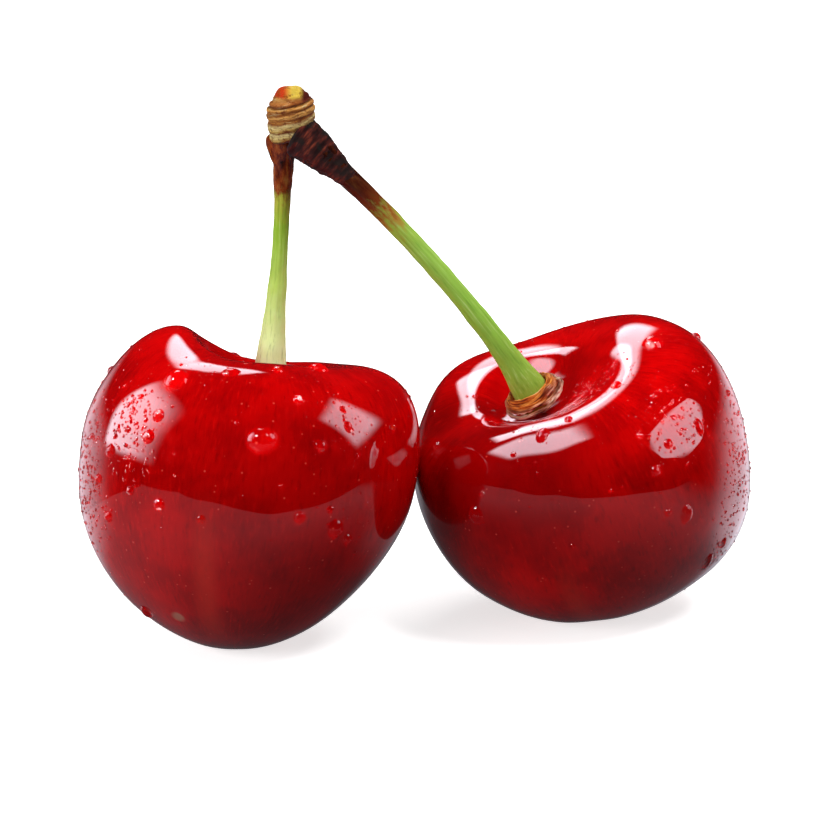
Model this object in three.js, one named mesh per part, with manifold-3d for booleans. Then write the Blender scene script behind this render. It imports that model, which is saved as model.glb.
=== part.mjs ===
// Two sweet cherries on their stalks, still joined at the woody spur they were picked with.
// The pair stands on its two fruits with the stalks up, as it does when it is set on a table.
// Units are millimetres. +Z is up, the fruits stand side by side along X, their fronts face -Y,
// and the soft flesh of both is pressed flat where it rests, in the plane Z = 0.
import * as THREE from "three";
import { mergeVertices } from "three/addons/utils/BufferGeometryUtils.js";
import Module from "manifold-3d";

const wasm = await Module();
wasm.setup();

// ---- driving dimensions ----------------------------------------------------------------------
const FRUIT_STEPS = 44; // facets round a fruit
const OUTLINE_STEPS = 9; // points on each stretch of a fruit's outline
const STALK_STEPS = 14; // facets round a stalk, and round what wraps it
const STALK_RINGS = 24; // steps along a stalk
const CONTACT_SINK = 0.3; // how far the flesh is pressed flat where a fruit rests
const GAP = 0.15; // air between a stalk and what wraps it
const CUT_GAP = 0.3; // air where one piece is trimmed to its neighbour

// A fruit is described in its own frame: the tip is down, the stalk cavity is up, and the seam
// faces -Y. Heights are from the middle of the fruit.
const LEFT_FRUIT = {
  place: [-13.5, -2.3], // where the middle of the fruit stands
  lean: 8, // degrees about Y, top towards +X
  nod: -10, // degrees about X, top towards the front
  radius: 13.4,
  widest: 2.3, // height of the widest girth
  bottom: -12.9,
  tipWidth: 4.8, // how blunt the tip is
  cheek: [-7.4, 7.6], // how far down and up the full cheek reaches
  shoulder: [6.6, 10.6], // radius and height of the rim round the cavity
  shoulderWidth: 3.6,
  floor: [1.8, 7.2], // radius and height of the floor of the cavity
  depth: 0.96, // size from front to back, as a share of the width
  pushes: [
    { at: [0, 0, -13], by: [-0.5, 0, 0], reach: 16 }, // the tip stands off to one side
    { at: [-10, 0, -6], by: [-0.5, 0, 0], reach: 10 }, // one cheek is full lower down
    { at: [10, 0, -7], by: [-0.6, 0, 0], reach: 10 }, // the other is slimmer there
    { at: [-6.5, 0, 10.6], by: [0, 0, 1.9], reach: 8 }, // the high shoulder
    { at: [10, 0, 9], by: [0.8, 0, 0.5], reach: 8 }, // the square shoulder
    { at: [0, 7.5, 10.5], by: [0, 0, -0.5], reach: 6 }, // the low back of the rim
    { at: [0, 0, 7], by: [0.9, 0, 0], reach: 6 }, // the cavity is off centre
  ],
};
const RIGHT_FRUIT = {
  place: [13.4, 2.4],
  lean: -13,
  nod: 22,
  radius: 13.6,
  widest: 0.3,
  bottom: -12.6,
  tipWidth: 8.2,
  cheek: [-7.6, 6.4],
  shoulder: [7.2, 9.4],
  shoulderWidth: 3.8,
  floor: [1.9, 6.9],
  depth: 0.96,
  pushes: [
    { at: [0, 0, 6.5], by: [-2.1, 0, 0], reach: 12 }, // the cavity is off centre
    { at: [-9, 0, 9], by: [0.3, 0, -2.1], reach: 10 }, // the low shoulder
    { at: [-2, 9, 9], by: [0, 0, -2.5], reach: 10 }, // the low back of the rim
    { at: [5, 8, 8], by: [0, 0, -0.6], reach: 8 },
    { at: [8, 0, -11], by: [1.6, 0, -0.3], reach: 12 }, // the full lower cheek
    { at: [-9, 0, -8], by: [-0.4, 0, -0.2], reach: 8 },
  ],
};

// A stalk runs on one smooth bend from the floor of the cavity to its head at the spur.
const LEFT_STALK = {
  footWay: [-0.02, 0, 1], // the way it leaves the cavity, in the fruit's frame
  footReach: 7, // how far it holds that way before it bends
  head: [-9.8, 0.9, 39.6],
  headWay: [0.02, 0, 1],
  headReach: 7,
  // radius at shares of the length, from foot to head
  radii: [
    [0, 1.25],
    [0.12, 1.1],
    [0.25, 0.84],
    [0.45, 0.66],
    [0.68, 0.6],
    [0.82, 0.66],
    [0.93, 0.88],
    [1, 1.05],
  ],
};
const RIGHT_STALK = {
  footWay: [-0.2, 0, 1],
  footReach: 7,
  head: [-8.0, -0.1, 40.0],
  headWay: [-0.75, 0, 0.66],
  headReach: 10,
  radii: [
    [0, 1.5],
    [0.06, 1.4],
    [0.15, 1.05],
    [0.3, 0.86],
    [0.5, 0.78],
    [0.7, 0.78],
    [0.85, 0.84],
    [1, 0.95],
  ],
};

// The ring of dried tissue that is left round the foot of each stalk.
const COLLAR = {
  width: 0.85, // from the stalk outwards
  height: 1.0,
  lift: 0.5, // above the stalk's foot, clear of the cavity's floor
};

// The dark wrinkled scale that still wraps the upper end of the right stalk.
const SCALE = {
  start: 0.85, // where along the stalk it begins
  endRadius: 1.14,
  headRadius: 1.6,
  wrinkles: 5,
  wrinkleDepth: 0.07,
};

// The knob of wood at the top, with the slanting rings of old leaf and bud scars.
const SPUR = {
  base: [-9.05, 0.3, 40.2], // middle of its underside
  radii: [1.65, 1.78, 1.78, 1.66, 1.42], // of the rings, from the underside up
  topRadius: 1.0,
  ringHeight: 0.74,
  ridge: 0.13, // how far a ring stands out
  slope: 0.28, // rise of the rings towards +X
  nod: 8, // degrees about X, top towards the front
};

// ---- shaping tools ---------------------------------------------------------------------------
const vector = (p) => new THREE.Vector3(...p);
const radians = THREE.MathUtils.degToRad;

function onlyPositions(geometry) {
  geometry.deleteAttribute("normal");
  geometry.deleteAttribute("uv");
  return mergeVertices(geometry, 1e-4);
}

// Turns an outline of [radius, height] points round the Z axis.
function turned(outline, steps) {
  const points = outline.map(([radius, height]) => new THREE.Vector2(radius, height));
  return onlyPositions(new THREE.LatheGeometry(points, steps).rotateX(Math.PI / 2));
}

// Moves every vertex to where change(point) takes it.
function reshaped(geometry, change) {
  const position = geometry.attributes.position;
  const point = new THREE.Vector3();
  for (let i = 0; i < position.count; i++) {
    change(point.fromBufferAttribute(position, i));
    position.setXYZ(i, point.x, point.y, point.z);
  }
  return geometry;
}

// A soft push, as by a thumb: full strength at its point and nothing at its reach.
function pushPoint(point, { at, by, reach }) {
  const near = Math.max(0, 1 - point.distanceTo(vector(at)) / reach);
  return point.addScaledVector(vector(by), near * near * (3 - 2 * near));
}

// Bends a piece that is modelled up the Z axis so that the axis follows a curve.
function bentAlong(geometry, curve) {
  const length = curve.getLength();
  return reshaped(geometry, (point) => {
    const { x, y, z } = point;
    const share = THREE.MathUtils.clamp(z / length, 0, 1);
    const along = curve.getTangentAt(share);
    const across = new THREE.Vector3(0, 1, 0).cross(along).normalize();
    const deep = along.clone().cross(across);
    point.copy(curve.getPointAt(share)).addScaledVector(across, x).addScaledVector(deep, y);
    point.addScaledVector(along, z - share * length);
  });
}

function solidOf(geometry) {
  const merged = mergeVertices(geometry, 1e-4);
  const vertProperties = new Float32Array(merged.attributes.position.array);
  const triVerts = new Uint32Array(merged.index.array);
  return new wasm.Manifold(new wasm.Mesh({ numProp: 3, vertProperties, triVerts }));
}

function geometryOf(solid) {
  const { vertProperties, triVerts } = solid.getMesh();
  const geometry = new THREE.BufferGeometry();
  geometry.setAttribute("position", new THREE.BufferAttribute(vertProperties, 3));
  geometry.setIndex(new THREE.BufferAttribute(triVerts, 1));
  return geometry;
}

const trimmed = (geometry, ...cutters) =>
  geometryOf(cutters.reduce((solid, cutter) => solid.subtract(solidOf(cutter)), solidOf(geometry)));

// ---- the fruits ------------------------------------------------------------------------------
function fruitOutline(f) {
  const [rimRadius, rimHeight] = f.shoulder;
  const [floorRadius, floorHeight] = f.floor;
  const [cheekLow, cheekHigh] = f.cheek;
  const tip = [[0, f.bottom], [f.tipWidth, f.bottom], [f.radius, cheekLow], [f.radius, f.widest]];
  const top = [
    [f.radius, f.widest],
    [f.radius, cheekHigh],
    [rimRadius + f.shoulderWidth, rimHeight],
    [rimRadius, rimHeight],
  ];
  const cavity = [
    [rimRadius, rimHeight],
    [rimRadius - 2.3, rimHeight],
    [floorRadius + 2.5, floorHeight + 0.3],
    [floorRadius, floorHeight],
  ];
  const outline = [tip, top, cavity].flatMap((points, i) => {
    const curve = new THREE.CubicBezierCurve(...points.map(([r, z]) => new THREE.Vector2(r, z)));
    return curve.getSpacedPoints(OUTLINE_STEPS).slice(i ? 1 : 0);
  });
  return [...outline.map((point) => [point.x, point.y]), [0, floorHeight - 0.1]];
}

// The fruit as it stands: leaned, set on the table and pressed flat where it touches. Its frame
// is kept, for the stalk and the collar that sit in the cavity.
function fruit(f) {
  const geometry = turned(fruitOutline(f), FRUIT_STEPS);
  geometry.scale(1, f.depth, 1);
  for (const push of f.pushes) reshaped(geometry, (point) => pushPoint(point, push));
  const frame = new THREE.Matrix4().makeRotationX(radians(f.nod));
  frame.multiply(new THREE.Matrix4().makeRotationY(radians(f.lean)));
  geometry.applyMatrix4(frame);
  geometry.computeBoundingBox();
  const [x, y] = f.place;
  const stand = new THREE.Matrix4().makeTranslation(x, y, -geometry.boundingBox.min.z - CONTACT_SINK);
  geometry.applyMatrix4(stand);
  const table = onlyPositions(new THREE.BoxGeometry(100, 100, 10).translate(0, 0, -5));
  return { geometry: trimmed(geometry, table), frame: stand.multiply(frame) };
}

// ---- the stalks ------------------------------------------------------------------------------
// The centre line of a stalk. It starts a little way above the floor of the cavity.
function stalkLine(stalk, f, frame) {
  const foot = f.pushes.reduce(pushPoint, vector([0, 0, f.floor[1]])).applyMatrix4(frame);
  const footWay = vector(stalk.footWay).transformDirection(frame);
  const head = vector(stalk.head);
  const headWay = vector(stalk.headWay).normalize();
  return new THREE.CubicBezierCurve3(
    foot.addScaledVector(footWay, CUT_GAP),
    foot.clone().addScaledVector(footWay, stalk.footReach),
    head.clone().addScaledVector(headWay, -stalk.headReach),
    head,
  );
}

// How thick a stalk is, as a smooth curve through [share of the length, radius].
function stalkProfile(stalk) {
  return new THREE.SplineCurve(stalk.radii.map(([share, radius]) => new THREE.Vector2(share, radius)));
}

function stalkBody(stalk, line, grow = 0) {
  const length = line.getLength();
  const rings = stalkProfile(stalk).getPoints(STALK_RINGS);
  const side = rings.map(({ x: share, y: radius }) => [radius + grow, share * length]);
  return bentAlong(turned([[0, 0], ...side, [0, length]], STALK_STEPS), line);
}

// ---- what wraps the stalks --------------------------------------------------------------------
function collar(stalk, line) {
  const inner = stalk.radii[0][1] + GAP;
  const outer = inner + COLLAR.width;
  const { lift, height } = COLLAR;
  const outline = [
    [inner, lift],
    [outer - 0.2, lift + 0.1],
    [outer, lift + 0.35],
    [outer - 0.15, lift + 0.65],
    [(inner + outer) / 2, lift + 0.85],
    [inner, lift + height],
    [inner, lift],
  ];
  return bentAlong(turned(outline, 2 * STALK_STEPS), line);
}

function budScale(stalk, line) {
  const length = line.getLength();
  const profile = stalkProfile(stalk);
  const steps = 4 * SCALE.wrinkles;
  const outside = [];
  const inside = [];
  for (let i = 0; i <= steps; i++) {
    const way = i / steps;
    const { x: share, y: stalkRadius } = profile.getPoint(THREE.MathUtils.lerp(SCALE.start, 1, way));
    const wrinkle = SCALE.wrinkleDepth * Math.sin(way * SCALE.wrinkles * 2 * Math.PI);
    const radius = THREE.MathUtils.lerp(SCALE.endRadius, SCALE.headRadius, way) + wrinkle;
    outside.push([radius, share * length]);
    inside.unshift([stalkRadius + GAP, share * length]);
  }
  return bentAlong(turned([...outside, ...inside, outside[0]], STALK_STEPS), line);
}

// ---- the spur --------------------------------------------------------------------------------
function spurBody(grow = 0) {
  const { radii, ringHeight, ridge, topRadius, slope } = SPUR;
  const outline = [[0, -grow], [radii[0] + grow, -grow]];
  radii.forEach((radius, i) => {
    const low = i * ringHeight;
    outline.push([radius + grow, low + 0.12 * ringHeight]);
    outline.push([radius + ridge + grow, low + 0.45 * ringHeight]);
    outline.push([radius + grow, low + 0.85 * ringHeight]);
  });
  const top = radii.length * ringHeight + grow;
  outline.push([topRadius + grow, top], [0.5 * topRadius, top + 0.05], [0, top - 0.1]);
  const geometry = turned(outline, 28);
  reshaped(geometry, (point) => {
    point.z += slope * point.x * (1 - 0.6 * (point.z / top)); // the rings level out upwards
  });
  return geometry.rotateX(radians(SPUR.nod)).translate(...SPUR.base);
}

// ---- the pair --------------------------------------------------------------------------------
const left = fruit(LEFT_FRUIT);
const right = fruit(RIGHT_FRUIT);
const leftLine = stalkLine(LEFT_STALK, LEFT_FRUIT, left.frame);
const rightLine = stalkLine(RIGHT_STALK, RIGHT_FRUIT, right.frame);
const spurRoom = spurBody(CUT_GAP);
const leftStalkRoom = stalkBody(LEFT_STALK, leftLine, CUT_GAP);

const group = new THREE.Group();
function add(name, geometry, color, roughness) {
  const mesh = new THREE.Mesh(geometry, new THREE.MeshStandardMaterial({ color, roughness }));
  mesh.name = name;
  group.add(mesh);
}

add("cherry_left", left.geometry, 0x9e0812, 0.12);
add("cherry_right", right.geometry, 0x9e0812, 0.12);
add("stalk_left", trimmed(stalkBody(LEFT_STALK, leftLine), spurRoom), 0x86ad34, 0.5);
add("stalk_right", trimmed(stalkBody(RIGHT_STALK, rightLine), spurRoom, leftStalkRoom), 0x7ca534, 0.5);
add("collar_left", collar(LEFT_STALK, leftLine), 0xb0672a, 0.7);
add("collar_right", collar(RIGHT_STALK, rightLine), 0xb0672a, 0.7);
add("bud_scale", trimmed(budScale(RIGHT_STALK, rightLine), spurRoom, leftStalkRoom), 0x3d1c1c, 0.55);
add("spur", spurBody(), 0xc9a15a, 0.65);

// The origin is on the table, under the middle of the pair.
const middle = new THREE.Box3().setFromObject(group).getCenter(new THREE.Vector3());
group.position.set(-middle.x, -middle.y, 0);

export default group;
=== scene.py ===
# %% [markdown]
# # Two sweet cherries on their stalks
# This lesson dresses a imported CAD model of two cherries: the fruits, their stalks, the woody spur that
# joins them, and the drops of water on the skin. The CAD model fixes the sizes and places. Here each
# piece is modelled again with the tools a person would use, fine enough to be seen close up.

# %% Load the frame
import math
import random
from functools import partial

import bpy
from mathutils import Matrix, Quaternion, Vector
from mathutils.bvhtree import BVHTree


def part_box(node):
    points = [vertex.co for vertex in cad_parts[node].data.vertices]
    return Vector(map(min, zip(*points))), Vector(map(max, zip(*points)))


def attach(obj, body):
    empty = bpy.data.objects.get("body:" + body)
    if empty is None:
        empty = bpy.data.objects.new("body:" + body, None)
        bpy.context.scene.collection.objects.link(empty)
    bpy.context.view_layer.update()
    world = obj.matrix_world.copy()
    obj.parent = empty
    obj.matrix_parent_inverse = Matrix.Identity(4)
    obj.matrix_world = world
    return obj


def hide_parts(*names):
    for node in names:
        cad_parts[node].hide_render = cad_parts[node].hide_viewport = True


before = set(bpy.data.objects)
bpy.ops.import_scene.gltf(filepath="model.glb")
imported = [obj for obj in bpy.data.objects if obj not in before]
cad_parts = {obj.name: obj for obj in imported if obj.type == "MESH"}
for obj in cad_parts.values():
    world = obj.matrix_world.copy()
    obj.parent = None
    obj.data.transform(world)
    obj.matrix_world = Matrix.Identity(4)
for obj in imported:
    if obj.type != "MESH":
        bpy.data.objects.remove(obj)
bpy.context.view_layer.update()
MM = 0.001  # one millimetre, in metres
print("CAD nodes:", sorted(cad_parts))


# %% [markdown]
# ## Small helpers
# Operators act on whatever is selected, so every step starts by selecting nothing. Sizes are thought
# of in millimetres, and mm() turns them into the metres that Blender works in.

# %% Helpers for selecting and shaping
def mm(*values):
    return Vector(values) * MM


def select_only(*objects):
    if bpy.context.object and bpy.context.object.mode != "OBJECT":
        bpy.ops.object.mode_set(mode="OBJECT")
    bpy.ops.object.select_all(action="DESELECT")
    for piece in objects:
        piece.select_set(True)
    bpy.context.view_layer.objects.active = objects[0]


def choose(piece, wanted):
    """Selects the vertices of piece whose place passes the test wanted, and opens edit mode."""
    select_only(piece)
    bpy.ops.object.mode_set(mode="EDIT")
    bpy.ops.mesh.select_mode(type="VERT")
    bpy.ops.mesh.select_all(action="DESELECT")
    bpy.ops.object.mode_set(mode="OBJECT")
    for vertex in piece.data.vertices:
        vertex.select = wanted(vertex.co)
    bpy.ops.object.mode_set(mode="EDIT")


def choose_all(piece):
    select_only(piece)
    bpy.ops.object.mode_set(mode="EDIT")
    bpy.ops.mesh.select_mode(type="VERT")
    bpy.ops.mesh.select_all(action="SELECT")


def to_object_mode():
    bpy.ops.object.mode_set(mode="OBJECT")


def push(piece, at, by, reach):
    """A soft push, as by a thumb: the vertex nearest to at moves by by, and its surroundings follow."""
    at = mm(*at)
    place = min((vertex.co for vertex in piece.data.vertices), key=lambda co: (co - at).length).copy()
    choose(piece, lambda co: (co - place).length < 1e-7)
    bpy.ops.transform.translate(
        value=mm(*by),
        use_proportional_edit=True,
        proportional_edit_falloff="SMOOTH",
        proportional_size=reach * MM,
    )
    to_object_mode()


def turn(piece, degrees, axis, centre=(0, 0, 0), wanted=None):
    """Turns the mesh by the right-hand rule. The operator turns the other way with no window."""
    if wanted:
        choose(piece, wanted)
    else:
        choose_all(piece)
    bpy.ops.transform.rotate(value=-math.radians(degrees), orient_axis=axis, center_override=centre)
    to_object_mode()


def move(piece, by):
    choose_all(piece)
    bpy.ops.transform.translate(value=by)
    to_object_mode()


def stretch(piece, by, centre=(0, 0, 0)):
    choose_all(piece)
    bpy.ops.transform.resize(value=by, center_override=centre)
    to_object_mode()


def corners(piece):
    places = [vertex.co for vertex in piece.data.vertices]
    low = Vector([min(co[i] for co in places) for i in range(3)])
    high = Vector([max(co[i] for co in places) for i in range(3)])
    return low, high


def apply_modifier(piece, name):
    select_only(piece)
    bpy.ops.object.modifier_apply(modifier=name)


def subdivide_surface(piece, levels=1):
    modifier = piece.modifiers.new("smooth", "SUBSURF")
    modifier.levels = modifier.render_levels = levels
    apply_modifier(piece, modifier.name)


def roughen(piece, name, size, height, kind="CLOUDS", depth=1):
    """Uneven growth: pushes the surface in and out by a pattern of that size, both in millimetres."""
    pattern = bpy.data.textures.new(name, kind)
    pattern.noise_scale = size * MM
    if kind == "CLOUDS":
        pattern.noise_depth = depth
    modifier = piece.modifiers.new(name, "DISPLACE")
    modifier.texture = pattern
    modifier.texture_coords = "LOCAL"
    modifier.strength = height * MM
    modifier.mid_level = 0.5
    apply_modifier(piece, modifier.name)


def keep_places(piece):
    """Stores where every vertex is now, so that a pattern can follow the piece through later bends."""
    stored = piece.data.attributes.new("grown", "FLOAT_VECTOR", "POINT")
    stored.data.foreach_set("vector", [number for vertex in piece.data.vertices for number in vertex.co])


def finish_mesh(piece):
    choose_all(piece)
    bpy.ops.mesh.normals_make_consistent(inside=False)
    to_object_mode()
    bpy.ops.object.shade_smooth()


# %% [markdown]
# ## Turning a body from its outline
# Fruits, stalks and knobs all grow round an axis. So each starts as a Bezier outline drawn in the XZ
# plane and spun about Z, the way a potter's profile turns into a pot. The outline has only the points
# that the shape needs, and the curve fills in the rest.

# %% Helpers for outlines
def draw_outline(name, knots, resolution):
    """Each knot is (r, z), or ((r, z), (r, z) of the handle before, (r, z) of the handle after)."""
    select_only(camera)
    bpy.ops.curve.primitive_bezier_curve_add(location=(0, 0, 0))
    outline = bpy.context.object
    outline.name = name
    spline = outline.data.splines[0]
    spline.bezier_points.add(len(knots) - 2)
    outline.data.resolution_u = spline.resolution_u = resolution
    for knot, place in zip(spline.bezier_points, knots):
        if isinstance(place[0], tuple):
            knot.handle_left_type = knot.handle_right_type = "FREE"
            knot.co, knot.handle_left, knot.handle_right = (mm(r, 0, z) for r, z in place)
        else:
            knot.co = mm(place[0], 0, place[1])
            knot.handle_left_type = knot.handle_right_type = "AUTO"
    select_only(outline)
    bpy.ops.object.convert(target="MESH")
    outline.data.name = name
    return outline


def spin_closed(piece, steps):
    """Spins an outline that starts and ends on the Z axis into a closed body."""
    choose_all(piece)
    bpy.ops.mesh.spin(steps=steps, angle=2 * math.pi, center=(0, 0, 0), axis=(0, 0, 1))
    bpy.ops.mesh.select_all(action="SELECT")
    bpy.ops.mesh.remove_doubles(threshold=0.002 * MM)
    bpy.ops.mesh.normals_make_consistent(inside=False)
    to_object_mode()


# %% [markdown]
# ## The camera
# The camera looks slightly down at the fruits from the front with a long lens, and it is tipped by
# a degree or two, as a camera held in the hand is.

# %% Make the camera
CAMERA_TARGET = mm(-0.29, -0.34, 17.6)
CAMERA_DISTANCE = 184 * MM
CAMERA_HEIGHT = math.radians(14)  # above the horizon
CAMERA_ROLL = math.radians(1.8)

camera_data = bpy.data.cameras.new("camera")
camera_data.lens = 100
camera_data.sensor_width = 36
camera_data.clip_start = 0.01
camera = bpy.data.objects.new("camera", camera_data)
bpy.context.collection.objects.link(camera)
backwards = Vector((0, -math.cos(CAMERA_HEIGHT), math.sin(CAMERA_HEIGHT)))
camera.location = CAMERA_TARGET + backwards * CAMERA_DISTANCE
look = (-backwards).to_track_quat("-Z", "Y").to_matrix().to_4x4()
camera.rotation_euler = (look @ Matrix.Rotation(-CAMERA_ROLL, 4, "Z")).to_euler()
bpy.context.scene.camera = camera
print("camera at", [round(value, 3) for value in camera.location])


# %% [markdown]
# ## The fruits
# A cherry is round about its own axis, with a blunt tip below and a funnel-shaped cavity above. No real
# one is that regular, so soft pushes raise one shoulder, lower another and set the cavity off centre.
# Sculpting would also do it, but a few measured pushes can be read and repeated.

# %% Describe the two fruits, in millimetres and degrees
LEFT_FRUIT = {
    "name": "cherry_left",
    "lean": 8,  # about Y, top towards +X
    "nod": -10,  # about X, top away from the front
    "radius": 13.4,
    "widest": 2.3,
    "bottom": -12.9,
    "tip_width": 4.8,
    "cheek": (-7.4, 7.6),
    "shoulder": (6.6, 10.6),
    "shoulder_width": 3.6,
    "floor": (1.8, 7.2),
    "pushes": (
        ((0, 0, -13), (-0.5, 0, 0), 16),  # the tip stands off to one side
        ((-10, 0, -6), (-0.5, 0, 0), 10),  # one cheek is full lower down
        ((10, 0, -7), (-0.6, 0, 0), 10),  # the other is slimmer there
        ((-6.5, 0, 10.6), (0, 0, 1.9), 8),  # the high shoulder
        ((10, 0, 9), (0.8, 0, 0.5), 8),  # the square shoulder
        ((0, 7.5, 10.5), (0, 0, -0.5), 6),  # the low back of the rim
        ((0, 0, 7), (0.9, 0, 0), 6),  # the cavity is off centre
    ),
    "scar": (-3.8, -6.5, -9.5),  # where the flower's style dried off
}
RIGHT_FRUIT = {
    "name": "cherry_right",
    "lean": -13,
    "nod": 22,
    "radius": 13.6,
    "widest": 0.3,
    "bottom": -12.6,
    "tip_width": 8.2,
    "cheek": (-7.6, 6.4),
    "shoulder": (7.2, 9.4),
    "shoulder_width": 3.8,
    "floor": (1.9, 6.9),
    "pushes": (
        ((0, 0, 6.5), (-2.1, 0, 0), 12),  # the cavity is off centre
        ((-9, 0, 9), (0.3, 0, -2.1), 10),  # the low shoulder
        ((-2, 9, 9), (0, 0, -2.5), 10),  # the low back of the rim
        ((5, 8, 8), (0, 0, -0.6), 8),
        ((8, 0, -11), (1.6, 0, -0.3), 12),  # the full lower cheek
        ((-9, 0, -8), (-0.4, 0, -0.2), 8),
    ),
    "scar": (0.5, 0, -12.6),
}
FRUIT_DEPTH = 0.96  # a cherry is a little flatter from front to back
FRUIT_STEPS = 112  # faces round a fruit before it is smoothed
SEAM_BEARING = -10  # degrees from the front of the fruit
CONTACT_SINK = 0.3 * MM  # how far the soft flesh is pressed flat where a fruit rests


# %% Spin and push the fruits
def shaped_fruit(fruit):
    radius, (low, high) = fruit["radius"], fruit["cheek"]
    (rim, rim_height), (floor, floor_height) = fruit["shoulder"], fruit["floor"]
    bottom, centre_height = fruit["bottom"], floor_height - 0.1
    knots = (
        ((0, bottom), (-1, bottom), (fruit["tip_width"], bottom)),
        ((radius, fruit["widest"]), (radius, low), (radius, high)),
        ((rim, rim_height), (rim + fruit["shoulder_width"], rim_height), (rim - 2.3, rim_height)),
        ((floor, floor_height), (floor + 2.5, floor_height + 0.3), (1.2, centre_height)),
        ((0, centre_height), (0.6, centre_height), (-1, centre_height)),
    )
    body = draw_outline(fruit["name"] + "_skin", knots, 16)
    spin_closed(body, FRUIT_STEPS)
    stretch(body, (1, FRUIT_DEPTH, 1))
    for at, by, reach in fruit["pushes"]:
        push(body, at, by, reach)
    return body


# %% [markdown]
# The seam is the faint furrow where the fruit's wall closed in the flower, and the scar is the tiny
# pale dimple that the flower's style left at the tip. Both are shallow dents in the mesh.

# %% Press in the seam and the scar, and stand the fruits up
def press_seam(body, bearing, depth):
    """A shallow groove from the cavity down to the tip, on the side that bearing names."""
    way = Vector((math.sin(math.radians(bearing)), -math.cos(math.radians(bearing)), 0))
    across = Vector((-way.y, way.x, 0))
    choose(body, lambda co: abs(co @ across) < 0.35 * MM and co @ way > 1.5 * MM)
    bpy.ops.transform.shrink_fatten(
        value=-depth * MM,
        use_proportional_edit=True,
        proportional_edit_falloff="SMOOTH",
        proportional_size=2.4 * MM,
    )
    to_object_mode()


def stand_fruit(body, fruit):
    """Leans the fruit, sets it where the CAD fruit stands, and presses it flat on the table."""
    turn(body, fruit["lean"], "Y")
    turn(body, fruit["nod"], "X")
    low, high = corners(body)
    cad_low, cad_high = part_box(fruit["name"])
    middle = (cad_low + cad_high) / 2 - (low + high) / 2
    move(body, (middle.x, middle.y, -low.z - CONTACT_SINK))
    choose(body, lambda co: co.z < 0)
    bpy.ops.transform.resize(value=(1, 1, 0), center_override=(0, 0, 0))
    to_object_mode()


fruits = {}
for fruit in (LEFT_FRUIT, RIGHT_FRUIT):
    body = shaped_fruit(fruit)
    press_seam(body, SEAM_BEARING, 0.08)
    subdivide_surface(body)
    roughen(body, fruit["name"] + " uneven growth", 7, 0.16)
    scar = Vector(fruit["scar"])
    push(body, scar, -scar.normalized() * 0.12, 0.7)
    keep_places(body)
    stand_fruit(body, fruit)
    finish_mesh(body)
    fruits[fruit["name"]] = body
    low, high = corners(body)
    print(body.name, len(body.data.polygons), "faces,", [round(v / MM, 2) for v in high - low], "mm")


# %% [markdown]
# ## The stalks
# A cherry stalk is a green, faintly ribbed rod that flares where it enters the fruit and thickens into
# a brown, bumpy head where it leaves the spur. Each is spun straight, grooved along its length, and then
# bent along a curve that runs from the floor of the cavity to the spur. The straight shape is stored
# first, so that the green, the browning and the streaks can follow the bend.

# %% Describe the stalks, in millimetres
CAD_SHIFT = mm(-0.288, -0.339, 0)  # the CAD model is centred on its box, which moves it this much
LEFT_STALK = {
    "name": "stalk_left",
    "fruit": LEFT_FRUIT,
    "foot": (0.9, 0, 7.1),
    "foot_way": (-0.02, 0, 1),
    "foot_reach": 7,
    "head": (-9.6, 0.9, 39.6),
    "head_way": (0.02, 0, 1),
    "head_reach": 7,
    "radii": (  # share of the length, radius
        (0, 1.4), (0.15, 1.24), (0.31, 0.92), (0.5, 0.7),
        (0.7, 0.62), (0.82, 0.7), (0.92, 0.88), (1.03, 1.04),
    ),
}
RIGHT_STALK = {
    "name": "stalk_right",
    "fruit": RIGHT_FRUIT,
    "foot": (-2.1, 0, 6.8),
    "foot_way": (-0.2, 0, 1),
    "foot_reach": 7,
    "head": (-8.0, -0.1, 40.0),
    "head_way": (-0.75, 0, 0.66),
    "head_reach": 10,
    "radii": (
        (0, 1.5), (0.06, 1.4), (0.15, 1.05), (0.3, 0.86),
        (0.5, 0.78), (0.7, 0.78), (0.85, 0.84), (1, 0.95),
    ),
}
STALK_STEPS = 40  # faces round a stalk
RIB_STEPS = 4  # every fourth line of vertices lies in a groove


# %% Draw the line of each stalk
def stalk_line(stalk):
    """A Bezier curve from the floor of the fruit's cavity to the stalk's head."""
    fruit = stalk["fruit"]
    body = fruits[fruit["name"]]
    grown = [Vector(place.vector) for place in body.data.attributes["grown"].data]
    sought = mm(*stalk["foot"])
    nearest = min(range(len(grown)), key=lambda i: (grown[i] - sought).length)
    nod = Matrix.Rotation(math.radians(fruit["nod"]), 3, "X")
    lean = Matrix.Rotation(math.radians(fruit["lean"]), 3, "Y")
    foot_way = nod @ lean @ Vector(stalk["foot_way"]).normalized()
    head_way = Vector(stalk["head_way"]).normalized()
    foot = body.data.vertices[nearest].co + foot_way * 0.2 * MM
    head = mm(*stalk["head"]) + CAD_SHIFT
    select_only(camera)
    bpy.ops.curve.primitive_bezier_curve_add(location=(0, 0, 0))
    line = bpy.context.object
    line.name = stalk["name"] + "_line"
    line.data.dimensions = "3D"
    line.data.twist_mode = "MINIMUM"
    start, end = line.data.splines[0].bezier_points
    ends = (
        (start, foot, foot_way, stalk["foot_reach"] * MM),
        (end, head, head_way, stalk["head_reach"] * MM),
    )
    for knot, place, way, reach in ends:
        knot.handle_left_type = knot.handle_right_type = "FREE"
        knot.co = place
        knot.handle_left = place - way * reach
        knot.handle_right = place + way * reach
    line.data.resolution_u = line.data.splines[0].resolution_u = 64
    line.hide_render = True
    return line


def bend_along(piece, line):
    """Bends a straight piece, which stands on Z, along the line."""
    modifier = piece.modifiers.new("bend", "CURVE")
    modifier.object = line
    modifier.deform_axis = "POS_Z"
    apply_modifier(piece, modifier.name)


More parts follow.
